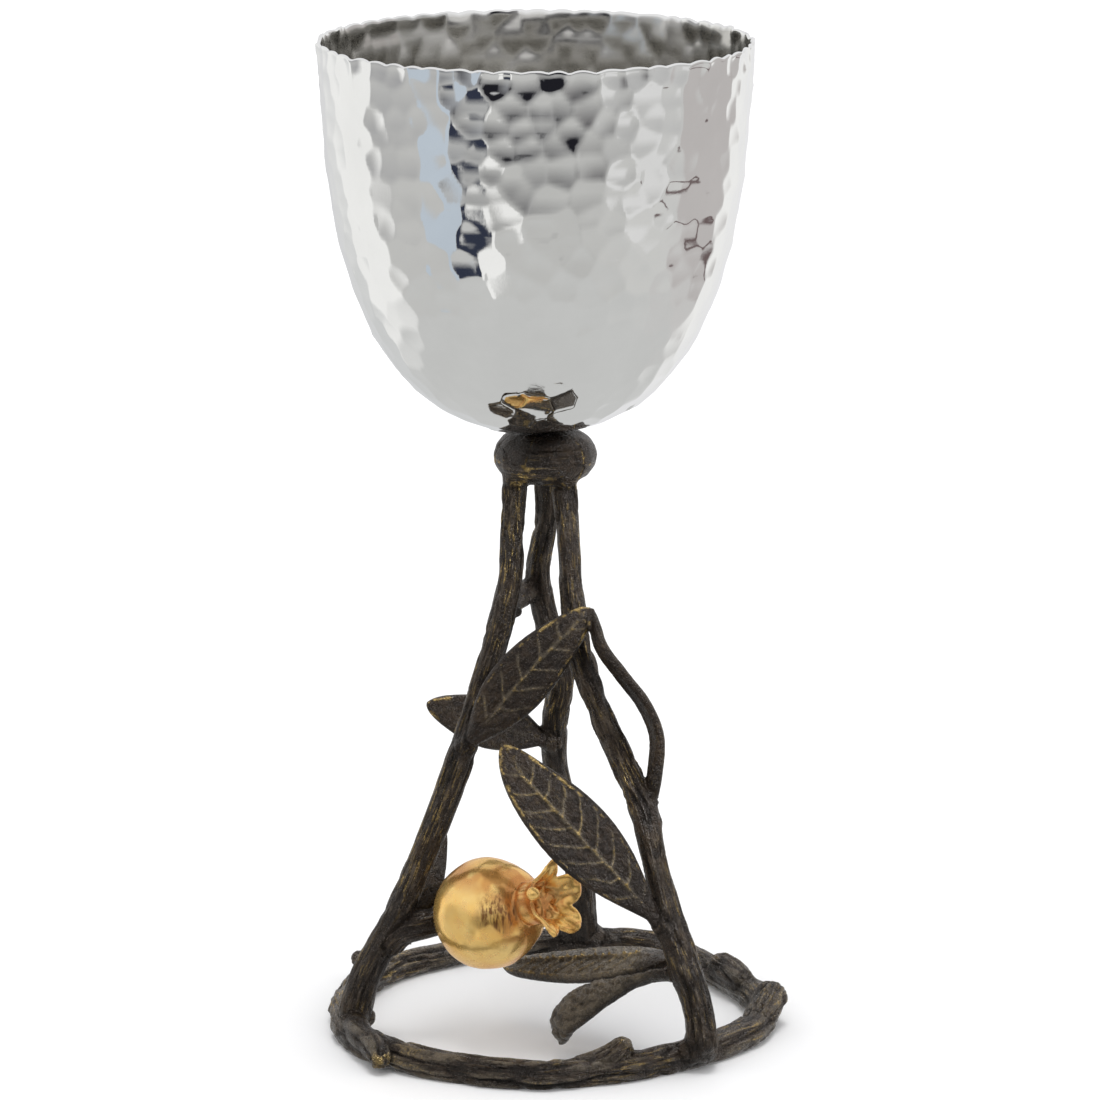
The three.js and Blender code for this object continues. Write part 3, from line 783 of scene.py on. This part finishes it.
def make_bowl():
    marks = hammer_marks()
    around = full_turn(BOWL.columns)
    outside = bowl_wall(0, BOWL.outer_rows)[::-1]
    inside = bowl_wall(BOWL.wall, BOWL.inner_rows)
    thinner = ease(CUP_HEIGHT - BOWL.thinning, CUP_HEIGHT, inside[:, 1])
    inside[:, 0] += (BOWL.wall - 2 * BOWL.lip) * thinner
    lift = BOWL.rim_wave * rim_lobes(around)
    walls = []
    for profile, marked in ((outside, outside), (inside, bowl_wall(0, BOWL.inner_rows))):
        wall = dented(profile, marked, around, marks)
        wall[..., 2] += np.exp(-(CUP_HEIGHT - profile[:, 1]) / BOWL.wave_reach)[:, None] * lift
        walls.append(wall)
    outer, inner = walls
    verts, faces = grid_mesh(np.concatenate([outer[1:-1], lip_rows(outer[-1], inner[0]), inner[1:-1]]))
    verts[:, :2] += BOWL.centre[:2]
    obj = new_object("bowl_shell", verts, faces)
    face_outward(obj)
    for polygon in obj.data.polygons:
        polygon.use_smooth = True
    return obj


# ---- The pomegranate, round its own centre with its crown towards +Z


def sphere_rings(rows, sides):
    """Unit directions over a sphere, in rings from -Z to +Z without the poles."""
    polar = np.linspace(math.pi, 0, rows)[1:-1, None]
    return turned(np.sin(polar), full_turn(sides), np.cos(polar))


def make_ball():
    rings = sphere_rings(90, 160)
    flat = rings.reshape(-1, 3)
    lumps = 0.16 * noise(flat * 2.2 + 7, 21) + 0.05 * noise(flat * 5, 22)
    belt = 0.35 * ease(0.55, 0.95, flat[:, 2])
    nipple = 0.9 * ease(0.975, 0.995, -flat[:, 2])
    radius = FRUIT.radius - 0.1 + lumps + belt + nipple
    return grid_mesh((flat * radius[:, None]).reshape(rings.shape))


def crown_length(azimuth):
    """The length of the crown's wall at each azimuth, and how near each is to a sepal's middle."""
    length, middle = np.full(len(azimuth), CROWN.notch), np.zeros(len(azimuth))
    for angle, reach, half, bluntness in CROWN.sepals:
        off = np.abs((azimuth - angle + 180) % 360 - 180) / half
        rise = (reach - CROWN.notch) * (1 - np.clip(off, 0, 1) ** bluntness)
        length = np.maximum(length, CROWN.notch + rise)
        middle = np.maximum(middle, np.exp(-((off / 0.16) ** 2)))
    return length, middle


def crown_point(along, inset):
    """A point of the crown's wall, inset from its outside: radius and distance along the axis."""
    lean = CROWN.bend * np.maximum(0, along - CROWN.straight)
    r = CROWN.neck_radius + (1 - np.cos(lean)) / CROWN.bend - inset * np.cos(lean)
    z = CROWN.start + np.minimum(along, CROWN.straight) + np.sin(lean) / CROWN.bend + inset * np.sin(lean)
    return r, z


def make_crown():
    around = np.linspace(0, 360, 240, endpoint=False)
    length, middle = crown_length(around)
    a = np.radians(around)

    def row(share, inset):
        ridge = 0.3 * middle * ease(0.45, 0.8, share) * (inset > 0)
        r, z = crown_point(share * length, inset + ridge)
        return turned(r, a, z)

    shares = np.linspace(0, 1, 26)
    wall = [row(s, 0) for s in shares] + [row(1.0, CROWN.wall * 0.5)]
    wall += [row(s, CROWN.wall) for s in shares[::-1][1:-14]]
    low, floor = turned(2.0, a, CROWN.start - 2), turned(1.5, a, CROWN.start + CROWN.floor)
    return grid_mesh(np.array([low, *wall, floor]))


def bead_centre():
    """Where the tip of one short sepal is rolled into a bead, on the crown's edge."""
    reach = next(length for angle, length, *_ in CROWN.sepals if angle == CROWN.curled)
    r, z = crown_point(reach + 0.5, 0.6)
    return turned(r, math.radians(CROWN.curled), z)


def make_bead():
    return grid_mesh(bead_centre() + CROWN.bead * sphere_rings(18, 32))


def make_stamens():
    """Small blunt threads that fill the crown's cup."""
    rng = np.random.default_rng(5)
    parts = []
    for k in range(6):
        foot = turned(0.8 * math.sqrt(k), 2.4 * k, CROWN.start + CROWN.floor - 1)
        lean = 0.35 * foot * [1, 1, 0]
        lean += [rng.uniform(-0.4, 0.4), rng.uniform(-0.4, 0.4), rng.uniform(0.9, 1.3)]
        places = foot + np.linspace(0, 1, 8)[:, None] * lean
        out, across = frames_along(np.repeat(unit(lean)[None], 8, 0), (1, 0, 0.2))
        parts.append(grid_mesh(tube_rings(places, out, across, np.full(8, 0.42), 10, 0.4)))
    return parts


def fruit_turn():
    """Turns the crown from +Z to where it points."""
    turn = Matrix.Rotation(math.radians(FRUIT.azimuth), 3, "Z")
    return np.array(turn @ Matrix.Rotation(math.radians(90 - FRUIT.elevation), 3, "Y"))


def brushed_patch(offset):
    """Where the front of the fruit is brushed: a patch with a wavy lower edge that fades upward."""
    u, v = offset[:, 0] - 1.9, offset[:, 2] - 3.9
    wave = 0.7 * np.sin(u * 1.1 + 0.6) + 0.5 * noise(np.column_stack([u / 1.5, u * 0, u * 0]), 41)
    across = ease(4.6, 2.6, np.abs(u))
    low = ease(-3.9, -3.1, v + wave)
    high = ease(4.2, 0.5, v + 1.4 * noise(np.column_stack([u / 0.5, u * 0 + 3, v / 6]), 42))
    return across * low * high * (offset[:, 1] < 0)


def painted_shade_patches(own, offset):
    """Painted shade and painted reflections in orange-brown: under the crown, across the top and low on
    the right.
    """
    cloud = ease(-0.35, 0.35, noise(own / 3.2, 43) + 0.4 * noise(own / 1.1, 44))
    up, right = offset[:, 2] / FRUIT.radius, offset[:, 0] / FRUIT.radius
    top = ease(0.5, 0.78, up) * ease(1.02, 0.85, up)
    low = 0.7 * ease(-0.35, -0.7, up) * ease(-0.3, 0.4, right)
    under_crown = ease(5.6, 8.4, own[:, 2])
    return np.clip(top + low + under_crown, 0, 1) * cloud


def make_fruit():
    verts, faces = joined([make_ball(), make_crown(), make_bead(), *make_stamens()])
    turn = fruit_turn()
    obj = new_object("pomegranate_fruit", verts @ turn.T + FRUIT.centre, faces)
    remeshed(obj, FRUIT_VOXEL, 4)
    verts, normals = skin(obj)
    offset = verts - FRUIT.centre
    own = offset @ turn
    from_axis = np.hypot(own[:, 0], own[:, 1])
    crown = ease(FRUIT.radius - 0.8, FRUIT.radius + 0.8, own[:, 2])
    neck = np.exp(-(((own[:, 2] - 9.9) / 0.9) ** 2)) * ease(6.5, 4.8, from_axis)
    creases = noise(own / [0.9, 0.9, 2.6], 31)
    folds = ease(0.25, 0.0, np.abs(noise(own / [1.6, 1.6, 4], 33)))
    height = crown * (0.035 * creases - 0.05 * folds) - 0.15 * neck + 0.03 * noise(own / 1.3, 32)
    set_skin(obj, verts + normals * height[:, None])
    inside = crown * ease(4.6, 2.8, from_axis)
    from_bead = np.linalg.norm(own - bead_centre(), axis=1) - CROWN.bead
    tube = crown * ease(15.4, 13.4, own[:, 2])
    # painted shade: darker orange-brown round the neck, in the crown's cup and tube, in its folds and
    # creases and round the bead
    shade = 0.7 * neck + 0.5 * inside + 0.4 * tube
    shade += crown * (0.55 * folds + 0.25 * ease(0, -0.5, creases))
    shade = (shade + 0.9 * ease(3.0, 0.6, from_bead)) * ease(-0.1, 0.3, from_bead)
    # painted shade and painted reflections in orange-brown on the ball, away from the crown
    shade += 0.75 * (1 - crown) * painted_shade_patches(own, offset)
    set_attribute(obj, "shade", np.clip(shade, 0, 1))
    set_attribute(obj, "brushed", brushed_patch(offset))
    return obj


# ---- Materials


class Nodes:
    """A short way to write a node tree."""

    def __init__(self, tree):
        self.tree = tree
        tree.nodes.clear()

    def add(self, kind, inputs=None, **settings):
        node = self.tree.nodes.new("ShaderNode" + kind)
        for key, value in settings.items():
            setattr(node, key, value)
        for key, value in (inputs or {}).items():
            socket = node.inputs[key]
            if isinstance(value, bpy.types.NodeSocket):
                self.tree.links.new(value, socket)
            else:
                socket.default_value = (*value, 1) if socket.type == "RGBA" else value
        return node

    def place(self):
        return self.add("TexCoord").outputs["Object"]

    def attribute(self, name, output="Fac"):
        return self.add("Attribute", attribute_name=name).outputs[output]

    def math(self, operation, a, b, clamp=False):
        return self.add("Math", {0: a, 1: b}, operation=operation, use_clamp=clamp).outputs[0]

    def plus(self, a, b):
        return self.math("ADD", a, b)

    def minus(self, a, b):
        return self.math("SUBTRACT", a, b)

    def times(self, product, *factors):
        for factor in factors:
            product = self.math("MULTIPLY", product, factor)
        return product

    def mix(self, factor, a, b):
        return self.add("Mix", {"Factor": factor, 6: a, 7: b}, data_type="RGBA").outputs[2]

    def noise(self, vector, scale, detail=3.0, roughness=0.55):
        inputs = {"Vector": vector, "Scale": scale, "Detail": detail, "Roughness": roughness}
        return self.add("TexNoise", inputs).outputs["Fac"]

    def stretched(self, vector, scale):
        return self.add("Mapping", {"Vector": vector, "Scale": scale}).outputs["Vector"]

    def ramp(self, factor, *stops):
        """A ramp through (place, value) or (place, (r, g, b)) stops."""
        node = self.add("ValToRGB", {"Fac": factor})
        elements = node.color_ramp.elements
        while len(elements) < len(stops):
            elements.new(0.5)
        for element, (place, value) in zip(elements, stops):
            element.position = place
            element.color = (*value, 1) if isinstance(value, tuple) else (value, value, value, 1)
        return node.outputs["Color"]

    def bump(self, height, strength, distance):
        inputs = {"Height": height, "Strength": strength, "Distance": distance}
        return self.add("Bump", inputs).outputs["Normal"]

    def surface(self, inputs):
        shader = self.add("BsdfPrincipled", inputs)
        self.add("OutputMaterial", {"Surface": shader.outputs["BSDF"]})


def new_material(name):
    material = bpy.data.materials.new(name)
    material.use_nodes = True
    return material, Nodes(material.node_tree)


def bronze_material():
    """Dark patina, brown where it is thin, rubbed to gold in threads along the bark and on veins
    and tips, with painted highlights: lighter brown along the bark's strands and pale on its ridge tops."""
    material, n = new_material("patinated_bronze")
    place, along = n.place(), n.attribute("along_bark", "Vector")
    threaded = n.attribute("threaded")
    strands = n.noise(n.stretched(along, (1.7, 1.7, 0.24)), 1.0, 4, 0.65)
    threads = n.noise(n.stretched(along, (3.4, 3.4, 0.24)), 1.0, 2, 0.5)
    patches = n.noise(place, 110, 4, 0.6)
    rubbings = n.noise(place, 62, 3, 0.6)
    mottle = n.noise(place, 620, 4, 0.65)
    grain = n.noise(place, 2300, 3, 0.6)
    brown = n.times(n.ramp(patches, (0.4, 0.2), (0.66, 1.0)), n.ramp(mottle, (0.36, 0.1), (0.62, 1.0)))
    dark = n.mix(brown, (0.0066, 0.0050, 0.0044), (0.030, 0.019, 0.0105))
    # painted highlight: lighter brown along the tops of the bark's strands
    painted_strand_highlight = n.times(n.ramp(strands, (0.52, 0.0), (0.64, 0.75)), threaded)
    dark = n.mix(painted_strand_highlight, dark, (0.072, 0.056, 0.040))
    # pale where the leaves' patina is worn, and a painted highlight on the bark's ridge tops
    paled = n.times(n.attribute("paled"), n.ramp(mottle, (0.36, 0.3), (0.58, 1.0)))
    dark = n.mix(paled, dark, (0.12, 0.1, 0.07))
    worn = n.plus(n.attribute("rubbed"), n.times(n.minus(grain, 0.5), 0.9))
    streaks = n.times(
        n.ramp(threads, (0.575, 0.0), (0.645, 0.95)), n.ramp(rubbings, (0.48, 0.05), (0.6, 1.0)),
        threaded, n.ramp(grain, (0.36, 0.1), (0.55, 1.0)),
    )
    gold = n.math("ADD", n.ramp(worn, (0.3, 0.0), (0.75, 1.0)), streaks, clamp=True)
    colour = n.mix(gold, dark, (0.32, 0.228, 0.092))
    colour = n.mix(n.times(n.attribute("hollow"), 0.85), colour, (0.004, 0.0034, 0.003))
    ridges = n.times(
        n.plus(n.times(strands, 0.6), n.times(threads, 0.25)),
        n.ramp(threaded, (0.03, 0.0), (0.12, 0.8), (0.5, 1.0)),
    )
    n.surface({
        "Base Color": colour,
        "Roughness": n.ramp(mottle, (0.3, 0.21), (0.7, 0.35)),
        "Metallic": n.ramp(gold, (0.0, 0.1), (1.0, 1.0)),
        "Normal": n.bump(n.plus(ridges, n.times(grain, 0.18)), 1.0, 0.0016),
        "Specular IOR Level": 0.34,
        "Specular Tint": (1.0, 0.9, 0.83),
    })
    return material


def steel_material():
    """Mirror polish outside with a few faint scratches, and a greyer satin inside."""
    material, n = new_material("hammered_steel")
    place, inside = n.place(), n.attribute("inside")
    clouds = n.noise(place, 60, 4, 0.6)
    specks = n.noise(place, 1500, 3, 0.6)
    stains = n.ramp(clouds, (0.3, 0.0), (0.75, 1.0))
    outer = n.mix(stains, (0.80, 0.80, 0.79), (0.86, 0.86, 0.85))
    inner = n.mix(stains, (0.50, 0.49, 0.465), (0.66, 0.65, 0.62))
    polish = n.plus(n.times(n.ramp(specks, (0.45, 0.0), (0.8, 1.0)), 0.03), 0.035)
    satin = n.plus(n.times(stains, 0.08), 0.13)
    n.surface({
        "Base Color": n.mix(inside, outer, inner),
        "Roughness": n.plus(polish, n.times(inside, satin)),
        "Normal": n.bump(specks, 0.03, 0.0001),
        "Metallic": 1.0,
    })
    return material


def gilt_material():
    """Gold-coloured plate with painted shade in orange-brown in the creases and hollows, and a patch of
    brown brush marks on the front.
    """
    material, n = new_material("gilt_plate")
    place, brushed = n.place(), n.attribute("brushed")
    clouds = n.noise(place, 150, 3, 0.55)
    spots = n.noise(place, 420, 4, 0.6)
    pits = n.noise(place, 900, 2, 0.5)
    marks = n.noise(n.stretched(place, (1.0, 1.0, 0.08)), 1900, 3, 0.6)
    gold = n.mix(n.ramp(clouds, (0.36, 0.0), (0.66, 1.0)), (0.95, 0.57, 0.15), (0.97, 0.68, 0.25))
    gold = n.mix(n.ramp(spots, (0.5, 0.0), (0.74, 0.45)), gold, (0.72, 0.40, 0.17))
    # painted shade: the shade attribute darkens the gold to orange-brown
    gold = n.mix(n.times(n.attribute("shade"), 0.85), gold, (0.56, 0.21, 0.05))
    streaks = n.times(brushed, n.ramp(marks, (0.4, 1.0), (0.57, 0.12)))
    n.surface({
        "Base Color": n.mix(streaks, gold, (0.23, 0.10, 0.032)),
        "Roughness": n.plus(n.ramp(spots, (0.35, 0.23), (0.75, 0.31)), n.times(brushed, 0.06)),
        "Normal": n.bump(n.plus(n.times(pits, 0.2), n.times(marks, brushed, 0.8)), 0.25, 0.0004),
        "Metallic": 0.72,
        "Specular Tint": (1.0, 0.78, 0.62),
        "Coat Weight": 0.3,
        "Coat Roughness": 0.07,
    })
    return material


# ---- Stage: camera, light and floor


CAMERA = SimpleNamespace(distance=926.0, height=323.4, aside=-0.77, pitch=13.967, lens=165.7)
LIT_PLACE = Vector((0, 0, 0.06))


def make_camera():
    data = bpy.data.cameras.new("camera")
    data.lens = CAMERA.lens
    data.sensor_width = 36
    data.clip_start, data.clip_end = 0.05, 60
    camera = added("camera", data)
    place = np.array([CAMERA.aside, -CAMERA.distance, CAMERA.height]) + RING_CENTRE
    camera.location = Vector(place * MM)
    camera.rotation_euler = (math.radians(90 - CAMERA.pitch), 0, 0)
    bpy.context.scene.camera = camera


def make_light(name, place, size, power, colour=(1, 1, 1)):
    data = bpy.data.lights.new(name, "AREA")
    data.shape, data.size, data.size_y = "RECTANGLE", *size
    data.energy, data.color = power, colour
    light = added(name, data)
    light.location = place
    light.rotation_euler = (LIT_PLACE - Vector(place)).to_track_quat("-Z", "Y").to_euler()


def make_floor():
    bpy.ops.mesh.primitive_plane_add(size=40)
    floor = bpy.context.object
    floor.name = "floor"
    floor.visible_glossy = False
    material, n = new_material("pale_floor")
    clouds = n.noise(n.place(), 3, 2)
    tone = n.mix(n.ramp(clouds, (0.3, 0.0), (0.7, 1.0)), (0.90, 0.90, 0.90), (0.92, 0.92, 0.92))
    n.surface({"Base Color": tone, "Roughness": 0.9})
    floor.data.materials.append(material)


def make_world():
    """A pale studio for the bowl to reflect: white screens at both sides, blue, navy and white panels
    low on the left, and a darker band at eye level in front."""
    world = bpy.data.worlds.new("studio")
    bpy.context.scene.world = world
    world.use_nodes = True
    n = Nodes(world.node_tree)
    direction = n.add("TexCoord").outputs["Generated"]
    ahead = n.add("Mapping", {"Vector": direction, "Rotation": (0, 0, math.pi / 2)}).outputs[0]
    around = n.add("TexGradient", {"Vector": ahead}, gradient_type="RADIAL").outputs["Fac"]
    level = n.add("SeparateXYZ", {"Vector": direction}).outputs["Z"]
    lifted = n.plus(n.times(level, 0.5), 0.5)

    def round_about(*stops):
        """Shades at azimuths in degrees."""
        return n.ramp(around, *[((azimuth + 180) / 360, shade) for azimuth, shade in stops])

    def between(left, right):
        """A mask from one azimuth to another, its edges soft."""
        return round_about((left - 1, 0.0), (left + 1, 1.0), (right - 1, 1.0), (right + 1, 0.0))

    def rise(low, high):
        """A mask from 0 to 1 between two elevations in degrees."""
        stops = [(1 + math.sin(math.radians(angle))) / 2 for angle in (low, high)]
        return n.ramp(lifted, (stops[0], 0.0), (stops[1], 1.0))

    pale, white, far_left = (0.60, 0.60, 0.59), (0.98, 0.98, 0.97), (0.8, 0.8, 0.82)
    below_mist, eye_mist = (0.645, 0.635, 0.63), (0.52, 0.49, 0.485)
    screens = round_about(
        (-180, (0.66, 0.67, 0.68)), (-140, (0.68, 0.69, 0.69)), (-132, white), (-104, white),
        (-94, pale), (-18, pale), (28, (0.56, 0.56, 0.55)), (62, (0.68, 0.68, 0.67)),
        (86, (0.68, 0.68, 0.67)), (90, below_mist), (130, below_mist), (136, white), (176, far_left),
    )
    eye_level = round_about(
        (-180, (0.6, 0.6, 0.62)), (-136, white), (-104, white), (-92, (0.42, 0.42, 0.43)), (-62, 0.5),
        (-44, (0.35, 0.36, 0.38)), (-26, (0.13, 0.13, 0.14)), (-14, (0.02, 0.02, 0.03)),
        (4, (0.20, 0.20, 0.21)), (14, (0.02, 0.02, 0.03)), (30, (0.18, 0.175, 0.18)), (44, 0.5),
        (84, 0.6), (90, eye_mist), (130, eye_mist), (138, white), (176, far_left),
    )
    colour = n.mix(rise(-44, -30), (0.63, 0.635, 0.63), screens)
    colour = n.mix(rise(-25, -3), colour, eye_level)
    for shade, (left, right), (low, high) in (
        ((0.56, 0.63, 0.71), (-60, -47), (-34, 10)),
        ((0.56, 0.535, 0.53), (90, 126), (-27, 12)),
        ((0.035, 0.042, 0.068), (-46, -33), (-31, -19.5)),
        (white, (-32, -21), (-40, -22)),
        ((0.015, 0.015, 0.02), (-22, 20), (-8, 12)),
        ((0.78, 0.78, 0.78), (46, 74), (-24, -15)),
    ):
        below = n.minus(1.0, rise(high - 3, high + 3))
        colour = n.mix(n.times(between(left, right), below, rise(low - 2, low + 2)), colour, shade)
    frame_line = n.times(rise(-24, -23), n.minus(1.0, rise(-22.4, -21.4)), between(79, 129))
    colour = n.mix(frame_line, colour, (0.16, 0.12, 0.12))
    colour = n.mix(rise(9, 16), colour, (0.90, 0.90, 0.91))
    background = n.add("Background", {"Color": colour, "Strength": 1.0})
    n.add("OutputWorld", {"Surface": background.outputs[0]})


def make_lights():
    """A soft ceiling light, and three small lights that pick out the stand's bark and veins."""
    data = bpy.data.lights.new("ceiling", "SUN")
    data.energy, data.angle = 1.5, math.radians(32)
    added("ceiling", data).visible_glossy = False
    make_light("left", (-0.55, -0.6, 0.75), (0.22, 0.22), 6)
    make_light("right", (0.88, -0.16, 0.5), (0.16, 0.4), 9, (0.92, 0.95, 1.0))
    make_light("behind", (0.1, 0.6, 0.75), (0.3, 0.2), 3)


def light_only(piece, *names):
    """Keeps small bright lights off everything but one piece, so that none shows in polished metal."""
    lit = bpy.data.collections.new("lit_stand")
    lit.objects.link(piece)
    for name in names:
        bpy.data.objects[name].light_linking.receiver_collection = lit


# ---- The cup


def mark_inside(bowl):
    """Records which side of the bowl's wall is the inside."""
    verts, normals = skin(bowl)
    high_on_axis = [*BOWL.centre[:2], 175]
    facing_in = np.einsum("ij,ij->i", normals, verts - high_on_axis) < 0
    rim = verts[:, 2] > CUP_HEIGHT - 0.9
    set_attribute(bowl, "inside", (facing_in & ~rim).astype(float))


def dress(piece, node, material):
    piece.data.materials.clear()
    piece.data.materials.append(material)
    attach(piece, "root")
    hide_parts(node)


make_camera()
make_world()
make_lights()
make_floor()

bowl = make_bowl()
mark_inside(bowl)
dress(bowl, "bowl", steel_material())
stand = make_stand()
dress(stand, "branch_stand", bronze_material())
light_only(stand, "left", "right", "behind")
dress(make_fruit(), "pomegranate", gilt_material())

bpy.context.scene.view_settings.view_transform = "Standard"
